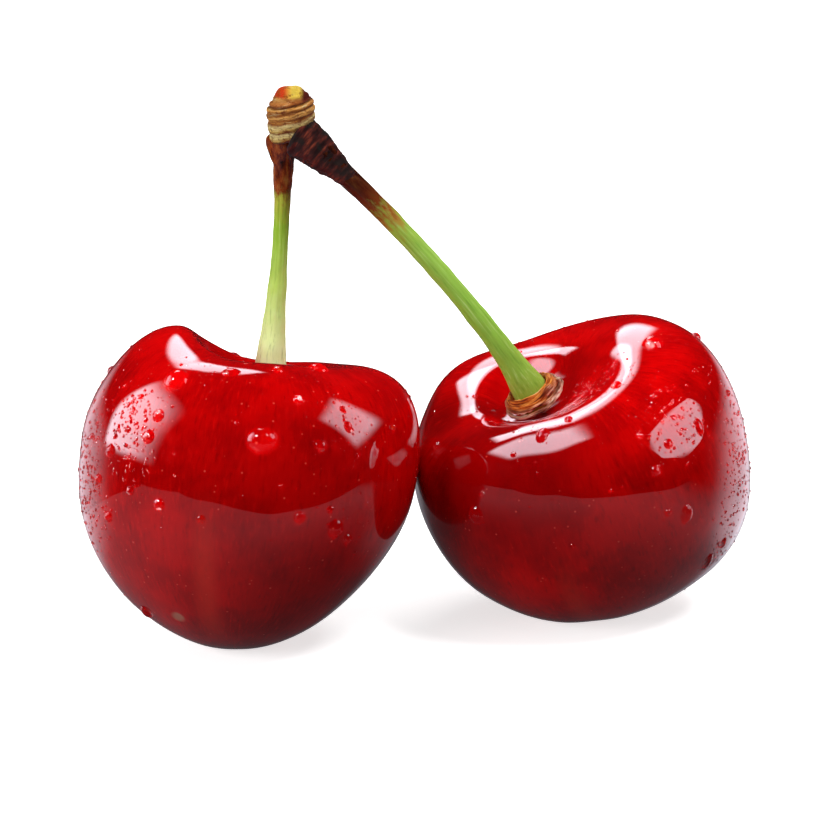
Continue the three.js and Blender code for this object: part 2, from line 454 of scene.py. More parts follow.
# %% Spin, groove and bend the stalks
def straight_stalk(stalk, length):
    knots = [(0, 0)] + [(radius, share * length / MM) for share, radius in stalk["radii"]]
    knots.append((0, length / MM))
    body = draw_outline(stalk["name"] + "_wood", knots, 10)
    spin_closed(body, STALK_STEPS)
    groove_angle = 2 * math.pi * RIB_STEPS / STALK_STEPS

    def in_groove(co):
        turned = math.atan2(co.y, co.x) % groove_angle
        return min(turned, groove_angle - turned) < 0.01 and co.xy.length > 0.3 * MM

    choose(body, in_groove)
    bpy.ops.transform.shrink_fatten(value=-0.035 * MM)
    to_object_mode()
    subdivide_surface(body)
    roughen(body, stalk["name"] + " growth", 1.5, 0.10)
    return body


def bump_head(body, length, seed, count):
    """The head is lumpy, where the small scales of the flower bud have dried onto it."""
    rng = random.Random(seed)
    for _ in range(count):
        height = rng.uniform(0.80, 0.97) * length / MM
        angle = rng.uniform(0, 2 * math.pi)
        outward = Vector((math.cos(angle), math.sin(angle), 0))
        push(body, outward * 0.9 + Vector((0, 0, height)), outward * rng.choice((-0.10, 0.06)), 0.7)


lines, stalks, lengths = {}, {}, {}
for stalk, seed in ((LEFT_STALK, 3), (RIGHT_STALK, 8)):
    name = stalk["name"]
    lines[name] = stalk_line(stalk)
    lengths[name] = lines[name].data.splines[0].calc_length(resolution=64)
    body = straight_stalk(stalk, lengths[name])
    bump_head(body, lengths[name], seed, 10)
    keep_places(body)
    bend_along(body, lines[name])
    finish_mesh(body)
    stalks[name] = body
    print(body.name, round(lengths[name] / MM, 1), "mm long,", len(body.data.polygons), "faces")


# %% [markdown]
# ## The dried collars
# Where a stalk enters its fruit, the foot of the old flower dries to a ragged, fibrous ring. It is
# made from a few flattened tori of different widths, each pushed about so that no two layers match.

# %% Model the collars
def collar_layer(name, radius, thickness, flatness, height, seed, tip):
    select_only(camera)
    bpy.ops.mesh.primitive_torus_add(
        major_radius=radius * MM,
        minor_radius=thickness * MM,
        major_segments=72,
        minor_segments=14,
        location=(0, 0, height * MM),
    )
    layer = bpy.context.object
    layer.name = layer.data.name = name
    bpy.ops.object.transform_apply(location=True)
    stretch(layer, (1, 1, flatness), (0, 0, height * MM))
    turn(layer, tip, "X", (0, 0, height * MM))
    rng = random.Random(seed)
    for _ in range(9):
        angle = rng.uniform(0, 2 * math.pi)
        outward = Vector((math.cos(angle), math.sin(angle), 0))
        bump = outward * rng.uniform(-0.12, 0.22) + Vector((0, 0, rng.uniform(-0.08, 0.16)))
        push(layer, outward * (radius + thickness * 0.6) + Vector((0, 0, height)), bump, 0.8)
    return layer


def dried_collar(name, line, radius, seed):
    layers = [
        collar_layer(name + "_ring", radius, 0.36, 1.0, 1.20, seed, 2),
        collar_layer(name + "_skirt", radius + 0.36, 0.24, 0.8, 0.92, seed + 1, -3),
        collar_layer(name + "_hem", radius + 0.58, 0.16, 0.9, 0.70, seed + 2, 2),
        collar_layer(name + "_lip", radius - 0.10, 0.14, 1.6, 1.52, seed + 3, -2),
    ]
    # a loose flap stands up on one side of the ring
    push(layers[0], (radius, 0, 1.5), (0.55, 0.1, 0.35), 0.9)
    push(layers[1], (radius * 0.7, radius * 0.7, 1.0), (0.3, 0.4, 0.2), 0.9)
    select_only(*layers)
    bpy.ops.object.join()
    collar = layers[0]
    collar.name = collar.data.name = name
    subdivide_surface(collar)
    roughen(collar, name + " fibres", 0.22, 0.16)
    keep_places(collar)
    bend_along(collar, line)
    finish_mesh(collar)
    return collar


collars = {
    "collar_left": dried_collar("collar_left_ring", lines["stalk_left"], 1.55, 5),
    "collar_right": dried_collar("collar_right_ring", lines["stalk_right"], 1.80, 11),
}
print("collars:", [len(collar.data.polygons) for collar in collars.values()], "faces")


# %% [markdown]
# ## The bud scale
# Dark papery scales of the old bud wrap the head of the right stalk. They have dried together, so they
# are one wrinkled sleeve that starts flush with the stalk and is twice as wide at the spur. Its rings are
# tipped by different amounts, because the scales overlap aslant.

# %% Model the bud scale
SCALE_START = 0.83  # share of the stalk's length
# the radius of each ring, in millimetres, from the lower end up
SCALE_RADII = (0.80, 0.93, 1.10, 1.26, 1.38, 1.48, 1.58, 1.66)
WRINKLE = 0.035  # how far each ring stands out, in millimetres


def tip_rings(body, angle_at):
    """Tips each ring of vertices about its own middle by the angle that angle_at(height) gives."""
    heights = sorted({round(vertex.co.z / MM, 4) for vertex in body.data.vertices})
    for height in heights:
        ring = [vertex.index for vertex in body.data.vertices if abs(vertex.co.z / MM - height) < 1e-3]
        tipped = set(ring)
        select_only(body)
        bpy.ops.object.mode_set(mode="EDIT")
        bpy.ops.mesh.select_all(action="DESELECT")
        bpy.ops.object.mode_set(mode="OBJECT")
        for vertex in body.data.vertices:
            vertex.select = vertex.index in tipped
        bpy.ops.object.mode_set(mode="EDIT")
        bpy.ops.transform.rotate(
            value=-math.radians(angle_at(height)), orient_axis="Y", center_override=(0, 0, height * MM)
        )
        to_object_mode()


def wrinkled_sleeve(length):
    start, end = SCALE_START * length / MM, length / MM + 0.5
    step = (end - start) / len(SCALE_RADII)
    knots = [(0, start - 0.1), (0.75, start - 0.1)]
    for number, radius in enumerate(SCALE_RADII):
        low = start + number * step
        knots.append((radius - WRINKLE, low))
        knots.append((radius + WRINKLE, low + step * 0.55))
    knots.append((SCALE_RADII[-1] - 0.3, end))
    knots.append((0, end + 0.1))
    sleeve = draw_outline("bud_scale_sleeve", knots, 4)
    spin_closed(sleeve, 48)
    middle = (start + end) / 2
    tip_rings(sleeve, lambda height: 10 * math.sin((height - middle) * 2.2) - 8)
    return sleeve


bud_scale = wrinkled_sleeve(lengths["stalk_right"])
subdivide_surface(bud_scale)
roughen(bud_scale, "papery wrinkles", 0.7, 0.16)
roughen(bud_scale, "papery creases", 0.2, 0.06)
keep_places(bud_scale)
bend_along(bud_scale, lines["stalk_right"])
finish_mesh(bud_scale)
print("bud scale", len(bud_scale.data.polygons), "faces")


# %% [markdown]
# ## The spur
# The spur is the stub of old wood that bore the flowers. Each year leaves a ring of bud scars, so it is
# a stack of slanting ridges, thinner towards the top, and it ends in a domed face where it broke off
# the twig.

# %% Model the spur
SPUR_BASE = mm(-8.8, 0.3, 40.2) + CAD_SHIFT
SPUR_RINGS = ((1.78, 0.74), (1.90, 0.76), (1.90, 0.60), (1.80, 0.42), (1.62, 0.30))  # radius, height
SPUR_DOME = ((1.40, 0), (1.30, 0.30), (1.02, 0.66), (0.6, 0.90), (0, 0.98))  # radius, rise above them
SPUR_GROOVE = 0.08
SPUR_SLOPE = 15  # degrees, the right side is the higher
SPUR_NOD = 8  # degrees, towards the front


def ringed_knob():
    knots = [(0, -0.25), (1.3, -0.2)]
    height = 0
    for radius, thickness in SPUR_RINGS:
        knots.append((radius - SPUR_GROOVE, height))
        knots.append((radius, height + thickness * 0.35))
        knots.append((radius - 0.02, height + thickness * 0.75))
        height += thickness
    knots += [(radius, height + rise) for radius, rise in SPUR_DOME]
    knob = draw_outline("spur_wood_knob", knots, 4)
    spin_closed(knob, 56)
    top = height
    tip_rings(knob, lambda z: -SPUR_SLOPE * (1 - 0.6 * z / top))
    return knob, top


spur, spur_top = ringed_knob()
for at, by, reach in (
    ((-0.5, -0.2, spur_top + 0.9), (-0.1, 0, 0.15), 0.8),  # the torn middle stands up
    ((0.5, -0.8, spur_top + 0.6), (0.05, 0.12, -0.14), 0.5),
    ((1.2, -0.2, spur_top + 0.3), (0.16, 0, 0.1), 0.5),  # the rim of bark
    ((-1.6, 0, 2.0), (-0.12, 0, 0), 0.9),
):
    push(spur, at, by, reach)
subdivide_surface(spur)
roughen(spur, "bark lumps", 0.8, 0.16)
roughen(spur, "bark grain", 0.16, 0.06)
keep_places(spur)
turn(spur, SPUR_NOD, "X")
move(spur, SPUR_BASE)
finish_mesh(spur)
print("spur", len(spur.data.polygons), "faces")


# %% [markdown]
# ## Drops of water
# The fruits were rinsed, so big drops cling to the skin and hundreds of tiny beads dull it in patches.
# A drop is a cap cut from a sphere, and water meets waxy skin at a steep angle. One cap is modelled for
# the big drops and a coarser one for the beads. Copies are set down where a ray from outside meets the
# fruit, each turned to lie on the skin.

# %% Model one cap of water
CONTACT_ANGLE = math.radians(68)  # how steeply the water meets the skin
EDGE_SINK = 0.12  # how far the edge goes under the skin, as a share of the foot's radius


def water_cap(name, segments, rings):
    """A cap with a foot of radius 1, its edge a little under the skin."""
    select_only(camera)
    bpy.ops.mesh.primitive_uv_sphere_add(
        segments=segments, ring_count=rings, radius=1 / math.sin(CONTACT_ANGLE), location=(0, 0, 0)
    )
    cap = bpy.context.object
    cap.name = cap.data.name = name
    foot = math.cos(CONTACT_ANGLE) / math.sin(CONTACT_ANGLE)
    choose_all(cap)
    bpy.ops.mesh.bisect(
        plane_co=(0, 0, foot - EDGE_SINK), plane_no=(0, 0, 1), clear_inner=True, use_fill=True
    )
    bpy.ops.mesh.select_all(action="SELECT")
    bpy.ops.transform.translate(value=(0, 0, -foot))
    to_object_mode()
    return cap


drop_cap = water_cap("drop_cap", 28, 20)
bead_cap = water_cap("bead_cap", 9, 7)
print("a drop has", len(drop_cap.data.polygons), "faces, a bead", len(bead_cap.data.polygons))


# %% Set caps down on the skin
OUTSIDE = 40 * MM  # rays start this far from a fruit's middle, well clear of the skin
LOWEST_DROP = 0.6 * MM  # below this a drop would touch the table


def bearing_to(bearing, height):
    """The way out of a fruit: bearing 0 is the front and 90 the right, height is above the horizon."""
    b, h = math.radians(bearing), math.radians(height)
    return Vector((math.sin(b) * math.cos(h), -math.cos(b) * math.cos(h), math.sin(h)))


def skin_of(body):
    low, high = corners(body)
    places = [vertex.co for vertex in body.data.vertices]
    faces = [tuple(face.vertices) for face in body.data.polygons]
    return BVHTree.FromPolygons(places, faces), (low + high) / 2


def set_cap(cap, skin, middle, bearing, height, size, long=1.0, flat=1.0):
    """Copies the cap to the skin. It is size millimetres wide, and long times that from top to bottom."""
    way = bearing_to(bearing, height)
    place, normal = skin.ray_cast(middle + way * OUTSIDE, -way)[:2]
    if place is None or place.z < LOWEST_DROP:
        return None
    upwards = (Vector((0, 0, 1)) - normal * normal.z).normalized()
    across = upwards.cross(normal)
    copy = bpy.data.objects.new(cap.name, cap.data.copy())
    bpy.context.collection.objects.link(copy)
    half = size / 2 * MM
    axes = Matrix((across * half, upwards * half * long, normal * half * flat)).transposed().to_4x4()
    copy.matrix_world = Matrix.Translation(place) @ axes
    return copy


def join_caps(name, copies):
    copies = [copy for copy in copies if copy]
    select_only(*copies)
    bpy.ops.object.transform_apply(location=True, rotation=True, scale=True)
    bpy.ops.object.join()
    joined = bpy.context.object
    joined.name = joined.data.name = name
    finish_mesh(joined)
    print(name, len(copies), "caps,", len(joined.data.polygons), "faces")
    return joined


# %% [markdown]
# The big drops are placed one by one, as a stylist does with a syringe: bearing and height in degrees,
# width in millimetres, then how many times longer than wide it is where it has begun to run.

# %% Set the big drops down
# bearing, height and width, then the length and the thickness as multiples, where they aren't 1
LEFT_DROPS = (
    (-31, 49, 1.9, 1.1), (-32, 36, 1.05), (-34, 29, 1.1), (-44, 41, 0.5), (-37, 34, 0.45), (-44, 30, 0.5),
    (-50, 27, 0.45), (-51, 22, 1.0, 1.1), (-57, 12, 0.8), (-52, 0, 0.9), (-40, 11, 0.75), (-28, 8, 1.0),
    (9, 29, 2.4, 0.85), (30, 25, 1.0), (26, 41, 0.9), (24, 56, 1.0, 0.9, 0.7), (-4, 55, 1.5, 0.7, 0.5),
    (56, 55, 1.6, 1.0, 0.7),
    (44, 35, 0.6), (43, 29, 0.75, 1.3), (33, -3, 1.35, 1.1), (38, -8, 0.8), (31, 4, 0.6), (20, 3, 0.9),
    (-13, 4, 0.65), (0, 35, 0.4), (-54, -40, 1.0, 1.4), (-66, 24, 0.5), (-22, 18, 0.35), (14, 14, 0.4),
    (66, 24, 0.7), (120, 12, 1.3), (150, 34, 1.6), (-120, 26, 1.4), (-150, 8, 1.1), (175, 20, 0.9),
    (-95, 5, 1.2), (-100, 40, 0.9), (135, -10, 1.0), (-170, 42, 1.3),
)
RIGHT_DROPS = (
    (-20, 27, 1.0, 1.5), (-10, 34, 0.7), (30, 64, 0.5), (-86, 37, 0.5), (42, 24, 0.8, 1.8), (27, 21, 0.8),
    (32, 29, 0.45), (34, -4, 1.1, 1.5), (26, -2, 0.6), (21, 13, 0.9), (17, 25, 0.6), (17, 49, 0.9),
    (-42, -3, 1.3, 1.2), (-39, 5, 0.5), (-72, 15, 0.7), (-29, 19, 0.5), (60, 60, 1.7), (-93, 23, 0.4),
    (56, -29, 0.8, 2.2), (62, -22, 0.6, 1.8), (5, 8, 0.35), (-8, -12, 0.35), (70, 30, 0.6),
    (100, 20, 1.2), (128, 34, 0.9, 1.3), (150, 5, 1.4), (-170, 25, 1.1), (-140, 38, 0.9), (170, -8, 0.9),
    (95, 48, 0.9), (115, -6, 1.0),
)
skins = {name: skin_of(body) for name, body in fruits.items()}
drops = {}
for name, listed in (("cherry_left", LEFT_DROPS), ("cherry_right", RIGHT_DROPS)):
    skin, middle = skins[name]
    copies = []
    for bearing, height, size, *long in listed:
        copies.append(set_cap(drop_cap, skin, middle, bearing, height, size, *long))
    drops[name] = join_caps(name.replace("cherry", "drops"), copies)


# %% [markdown]
# The tiny beads come from a sprayer, so they gather in patches. Each patch has a middle, a spread and
# a number of beads, and a seeded generator scatters them.

# %% Scatter the tiny beads
# bearing, height, spread of each in degrees, number of beads, smallest and largest width in millimetres
LEFT_PATCHES = (
    (-42, 30, 12, 14, 230, 0.12, 0.38),
    (-64, 12, 12, 24, 330, 0.10, 0.32),
    (42, 28, 9, 14, 80, 0.10, 0.28),
    (42, 5, 10, 12, 55, 0.10, 0.28),
    (0, 30, 60, 34, 60, 0.08, 0.20),
    (-100, 15, 35, 30, 220, 0.10, 0.34),
    (180, 20, 50, 30, 260, 0.10, 0.36),
    (120, 15, 30, 26, 120, 0.10, 0.32),
    (-20, 55, 22, 8, 26, 0.10, 0.26),
)
RIGHT_PATCHES = (
    (34, 27, 12, 14, 130, 0.12, 0.34),
    (66, 6, 14, 26, 330, 0.10, 0.32),
    (10, 58, 34, 14, 140, 0.10, 0.28),
    (-20, 30, 16, 8, 34, 0.10, 0.24),
    (5, 20, 50, 30, 60, 0.08, 0.20),
    (-75, 36, 14, 10, 34, 0.10, 0.26),
    (110, 12, 34, 30, 220, 0.10, 0.34),
    (180, 20, 50, 28, 240, 0.10, 0.36),
    (60, -26, 8, 10, 70, 0.10, 0.26),
)
beads = {}
for name, patches, seed in (("cherry_left", LEFT_PATCHES, 21), ("cherry_right", RIGHT_PATCHES, 34)):
    rng = random.Random(seed)
    skin, middle = skins[name]
    copies = []
    for bearing, height, wide, tall, count, smallest, largest in patches:
        for _ in range(count):
            size = smallest + (largest - smallest) * rng.random() ** 2.2
            to_side, to_top = rng.gauss(bearing, wide * 0.55), rng.gauss(height, tall * 0.55)
            copies.append(set_cap(bead_cap, skin, middle, to_side, min(to_top, 75), size, 1.0, 0.9))
    beads[name] = join_caps(name.replace("cherry", "beads"), copies)
for template in (drop_cap, bead_cap):
    bpy.data.objects.remove(template)


# %% [markdown]
# ## Colours and nodes
# Colours are written as sRGB hex values, the way a paint chart gives them, and one function turns
# them into the linear values that Blender mixes with. Another adds a node, sets it and links it.

# %% Helpers for materials
def colour(hex_code):
    parts = [int(hex_code[i : i + 2], 16) / 255 for i in (1, 3, 5)]
    linear = [p / 12.92 if p <= 0.04045 else ((p + 0.055) / 1.055) ** 2.4 for p in parts]
    return (*linear, 1)


def add_node(tree, kind, settings=None, **inputs):
    """Adds a node, sets its own settings, and sets or links each input, named by its label or as _index.

    A node given as an input stands for its first output in use. Stops are the colours of a ramp."""
    node = tree.nodes.new("ShaderNode" + kind)
    for name, value in (settings or {}).items():
        if name == "stops":
            while len(node.color_ramp.elements) < len(value):
                node.color_ramp.elements.new(1)
            for element, (place, hex_code) in zip(node.color_ramp.elements, value):
                element.position, element.color = place, colour(hex_code)
        else:
            setattr(node, name, value)
    for name, value in inputs.items():
        if name[1:].isdigit():
            socket = node.inputs[int(name[1:])]
        else:
            label = name.replace("_", " ")
            socket = next(s for s in node.inputs if s.name == label and s.enabled)
        if isinstance(value, bpy.types.Node):
            value = next(output for output in value.outputs if output.enabled)
        if isinstance(value, bpy.types.NodeSocket):
            tree.links.new(value, socket)
        else:
            socket.default_value = value
    return node


def new_material(name):
    """An empty material, and add_node made ready for its tree."""
    material = bpy.data.materials.new(name)
    material.use_nodes = True
    material.node_tree.nodes.clear()
    return material, partial(add_node, material.node_tree)


def dress(piece, material):
    piece.data.materials.clear()
    piece.data.materials.append(material)


COLOURS = {"data_type": "RGBA"}
MULTIPLY = {"operation": "MULTIPLY"}
ADD = {"operation": "ADD"}
SOFT_STEP = {"interpolation_type": "SMOOTHSTEP"}
SCALE = {"operation": "SCALE"}
LENGTH = {"operation": "LENGTH"}
NORMALIZE = {"operation": "NORMALIZE"}
DISTANCE = {"operation": "DISTANCE"}
DOT_PRODUCT = {"operation": "DOT_PRODUCT"}
PER_METRE = 1000  # turns stored metres into millimetres, so that pattern scales are per millimetre


def grown_place(add):
    """Where each point was before the piece was bent or leant, in millimetres."""
    stored = add("Attribute", {"attribute_name": "grown"}).outputs["Vector"]
    return add("VectorMath", SCALE, Vector=stored, Scale=PER_METRE)


def paint_over(add, base, value, low, high, paint, most=1.0):
    """Covers the base with a hex colour, softly, as value goes from low to high."""
    share = add("MapRange", SOFT_STEP, Value=value, From_Min=low, From_Max=high, To_Max=most)
    return add("Mix", COLOURS, Factor=share, A=base, B=colour(paint))


# %% [markdown]
# ### The skin
# Cherry skin is a clear waxy film over deep red flesh. Light goes in, comes back redder, and the film
# throws a sharp white reflection. The red isn't even: it is clouded over a few millimetres and flecked
# along lines that run from the cavity to the tip, so the pattern is laid out round the stored axis.

# %% Make the skin
DARK_STREAK, PORE, SEAM, SCAR = "#780002", "#E2483C", "#D0281C", "#B4806A"
# a darker red painted on as shade, where each fruit faces the other
PAINTED_SHADE_RED = "#7C0002"
PAINTED_SHADE_REACH = (11, 3)  # millimetres from the middle of the patch of painted shade, where it starts and where it is full


def cherry_skin(name, fruit, deep, bright, fleck, painted_shade):
    material, add = new_material(name)
    place = grown_place(add)
    parts = add("SeparateXYZ", Vector=place)
    flat = add("CombineXYZ", X=parts.outputs["X"], Y=parts.outputs["Y"])
    radius = add("VectorMath", LENGTH, Vector=flat).outputs["Value"]
    around = add("VectorMath", NORMALIZE, Vector=flat)
    round_trip = add("VectorMath", SCALE, Vector=around, Scale=fruit["radius"])
    latitude = add("Math", {"operation": "ARCTAN2"}, _0=parts.outputs["Z"], _1=radius)
    along = add("Math", MULTIPLY, _0=latitude, _1=fruit["radius"] * 0.28)
    lift = add("CombineXYZ", Z=along)
    lines = add("VectorMath", ADD, _0=round_trip, _1=lift)

    clouds = add("TexNoise", Vector=place, Scale=0.22, Detail=3.0, Roughness=0.55)
    cloud_share = add("MapRange", SOFT_STEP, Value=clouds, From_Min=0.38, From_Max=0.64)
    base = add("Mix", COLOURS, Factor=cloud_share, A=colour(deep), B=colour(bright))

    streaks = add("TexNoise", Vector=lines, Scale=3.0, Detail=3.0, Roughness=0.6)
    base = paint_over(add, base, streaks, 0.50, 0.78, fleck, 0.6)
    base = paint_over(add, base, streaks, 0.47, 0.24, DARK_STREAK, 0.5)

    # painted shade: one patch of each fruit, at the front where it faces the other fruit, is painted darker
    # than the rest
    shade_middle, shade_share = painted_shade
    away = add("VectorMath", DISTANCE, _0=place, _1=shade_middle).outputs["Value"]
    base = paint_over(add, base, away, *PAINTED_SHADE_REACH, PAINTED_SHADE_RED, shade_share)

    # pale pinpoint pores
    pores = add("TexVoronoi", Vector=place, Scale=0.95, Randomness=1.0)
    base = paint_over(add, base, pores, 0.11, 0.05, PORE, 0.55)

    # the seam shows as a soft lighter band down one side
    bearing = math.radians(SEAM_BEARING)
    across = add(
        "VectorMath",
        DOT_PRODUCT,
        _0=place,
        _1=(math.cos(bearing), math.sin(bearing), 0),
    ).outputs["Value"]
    off = add("Math", {"operation": "ABSOLUTE"}, _0=across)
    band = add("MapRange", SOFT_STEP, Value=off, From_Min=1.5, From_Max=0.1)
    front = add("MapRange", SOFT_STEP, Value=parts.outputs["Y"], From_Min=-3.0, From_Max=-8.0)
    lower = add("MapRange", SOFT_STEP, Value=parts.outputs["Z"], From_Min=2.0, From_Max=-6.0)
    for share in (front, lower, 0.6):
        band = add("Math", MULTIPLY, _0=band, _1=share)
    base = add("Mix", COLOURS, Factor=band, A=base, B=colour(SEAM))

    # the scar of the style is a dry, pale speck
    away = add("VectorMath", DISTANCE, _0=place, _1=fruit["scar"]).outputs["Value"]
    base = paint_over(add, base, away, 0.75, 0.25, SCAR, 0.7)

    grain = add("TexNoise", Vector=lines, Scale=3.2, Detail=2.0)
    bump = add("Bump", Height=grain, Strength=0.16, Distance=0.03 * MM)
    film = add("TexNoise", Vector=place, Scale=0.5, Detail=2.0)
    gloss = add("MapRange", Value=film, To_Min=0.01, To_Max=0.06)
    shader = add(
        "BsdfPrincipled",
        Base_Color=base,
        Roughness=0.5,
        IOR=1.36,
        Specular_IOR_Level=0.0,
        Normal=bump,
        Subsurface_Weight=0.18,
        Subsurface_Radius=(1.4, 0.08, 0.06),
        Subsurface_Scale=MM,
        Coat_Weight=1.0,
        Coat_Roughness=gloss,
        Coat_IOR=1.52,
    )
    add("OutputMaterial", Surface=shader)
    return material


# the fruit, its deep, bright and flecked reds, then the middle of its patch of painted shade and how dark it
# is
SKIN_REDS = {
    "waxy_skin_left": (LEFT_FRUIT, "#A20002", "#BE0102", "#D20806", ((5, -12, 0), 0.22)),
    "waxy_skin_right": (RIGHT_FRUIT, "#A60002", "#C60102", "#D80806", ((-5, -9.5, 8.5), 0.75)),
}
for name, (fruit, *reds) in SKIN_REDS.items():
    dress(fruits[fruit["name"]], cherry_skin(name, fruit, *reds))
    print(name, "on", fruit["name"])


# %% [markdown]
# ### Water
# Water is clear, hardly bends the light (an index of 1.333) and has a mirror-smooth face. The drops
# cast no shadow, so that the lamps reach the skin under them, as they do through real water.

# %% Make the water
def water():
    material, add = new_material("rinse_water")
    shader = add(
        "BsdfPrincipled", Base_Color=(1, 1, 1, 1), Roughness=0.0, IOR=1.333, Transmission_Weight=1.0
    )
    add("OutputMaterial", Surface=shader)
    return material


clear_water = water()
for wet in (*drops.values(), *beads.values()):
    dress(wet, clear_water)
    wet.visible_shadow = False


# %% [markdown]
# ### Stalk, scale, spur and collar
# The stalk is pale where it was shaded by the fruit, then green, then it browns towards its head. The
# share of the length drives the colours, and noise drawn out along the stalk gives the fine ribs.

# %% Make the stalk materials
BARK = ((0.30, "#2A0E0A"), (0.44, "#74260F"), (0.56, "#B4521E"), (0.72, "#D49444"))


def stalk_wood(name, length, stops, brown_from, brown_to, burnt):
    material, add = new_material(name)
    place = grown_place(add)
    height = add("SeparateXYZ", Vector=place).outputs["Z"]
    share = add("MapRange", Value=height, From_Max=length / MM)
    drawn_out = add("Mapping", Vector=place, Scale=(1, 1, 0.05))
    ribs = add("TexNoise", Vector=drawn_out, Scale=5.5, Detail=4.0, Roughness=0.6)
    patches = add("TexNoise", Vector=place, Scale=0.9, Detail=4.0, Roughness=0.65)
    wander = add("MapRange", Value=patches, To_Min=-0.07, To_Max=0.07)
    wandering = add("Math", ADD, _0=share, _1=wander)
    base = add("ValToRGB", {"stops": stops}, Fac=wandering)

    base = paint_over(add, base, ribs, 0.52, 0.75, "#D3E494", 0.5)
    base = paint_over(add, base, ribs, 0.48, 0.28, "#4F7F12", 0.45)

    # corky brown creeps down from the head in blotches
    smeared = add("Mapping", Vector=place, Scale=(1, 1, 0.35))
    blotch = add("TexNoise", Vector=smeared, Scale=1.9, Detail=5.0, Roughness=0.7)
    creep = add("MapRange", Value=blotch, From_Min=0.25, From_Max=0.75, To_Min=-0.09, To_Max=0.09)
    reach = add("Math", ADD, _0=share, _1=creep)
    brown = add("MapRange", SOFT_STEP, Value=reach, From_Min=brown_from, From_Max=brown_to)
    bark = add("ValToRGB", {"stops": BARK}, Fac=blotch)
    bark = paint_over(add, bark, reach, 0.64, 0.82, "#1E0B08", burnt)
    base = add("Mix", COLOURS, Factor=brown, A=base, B=bark)
    sheen = add("MapRange", Value=brown, To_Min=0.45, To_Max=0.26)
    ridge = add("Math", ADD, _0=ribs, _1=blotch)
    bump = add("Bump", Height=ridge, Strength=0.5, Distance=0.08 * MM)
    shader = add(
        "BsdfPrincipled",
        Base_Color=base,
        Roughness=sheen,
        IOR=1.45,
        Normal=bump,
        Subsurface_Weight=0.15,
        Subsurface_Radius=(0.4, 0.5, 0.15),
        Subsurface_Scale=MM,
    )
    add("OutputMaterial", Surface=shader)
    return material


LEFT_GREENS = (
    (0.0, "#F0FBD0"), (0.25, "#DDF0A4"), (0.45, "#BEDC68"),
    (0.66, "#98C436"), (0.78, "#B8BC40"), (0.9, "#B8902C"),
)
RIGHT_GREENS = (
    (0.0, "#98A43A"), (0.08, "#8EB642"), (0.3, "#94C248"),
    (0.55, "#9CC450"), (0.74, "#A4B03C"), (0.84, "#B09434"),
)
dress(
    stalks["stalk_left"],
    stalk_wood("green_stalk_left", lengths["stalk_left"], LEFT_GREENS, 0.75, 0.83, 0.3),
)
dress(
    stalks["stalk_right"],
    stalk_wood("green_stalk_right", lengths["stalk_right"], RIGHT_GREENS, 0.62, 0.74, 0.85),
)


# %% Make the dry, woody materials
PAPERY = ((0.32, "#120B0C"), (0.45, "#2C1414"), (0.55, "#4A1E1A"), (0.63, "#7A3424"), (0.74, "#A85238"))
# the spur's rings: pale bark, dark brown at the grooves between the rings, partly the bud scars' own colour
# and partly painted shade in the grooves
RING_WOOD_AND_GROOVE_SHADE = (
    (0.0, "#7A4A1E"), (0.06, "#D8BC6A"), (0.17, "#E6D494"), (0.225, "#8A5A22"), (0.27, "#D9B85E"),
    (0.38, "#EAD692"), (0.44, "#9A5C20"), (0.50, "#CF8E40"), (0.58, "#E0A85A"), (0.635, "#7C4218"),
    (0.69, "#C47C34"), (0.76, "#D89A4C"), (0.80, "#6A3414"), (0.86, "#B87034"), (1.0, "#D8A050"),
)
DRY_FIBRE = ((0.34, "#24100A"), (0.43, "#9A4412"), (0.53, "#C86E26"), (0.62, "#E0923C"), (0.74, "#F2DDB4"))
PALE_FIBRE = ((0.42, "#2A1418"), (0.52, "#8C6A64"), (0.62, "#E6DCD4"))


def dry_scale():
    material, add = new_material("papery_bud_scale")
    place = grown_place(add)
    rings = add("Mapping", Vector=place, Rotation=(0.35, -0.25, 0), Scale=(0.35, 0.35, 1.6))
    grain = add("TexNoise", Vector=rings, Scale=1.5, Detail=5.0, Roughness=0.7)
    base = add("ValToRGB", {"stops": PAPERY}, Fac=grain)
    patches = add("TexNoise", Vector=place, Scale=0.7, Detail=2.0)
    base = paint_over(add, base, patches, 0.52, 0.62, "#23201E", 0.8)
    bump = add("Bump", Height=grain, Strength=0.7, Distance=0.15 * MM)
    shader = add("BsdfPrincipled", Base_Color=base, Roughness=0.48, Normal=bump)
    add("OutputMaterial", Surface=shader)
    return material


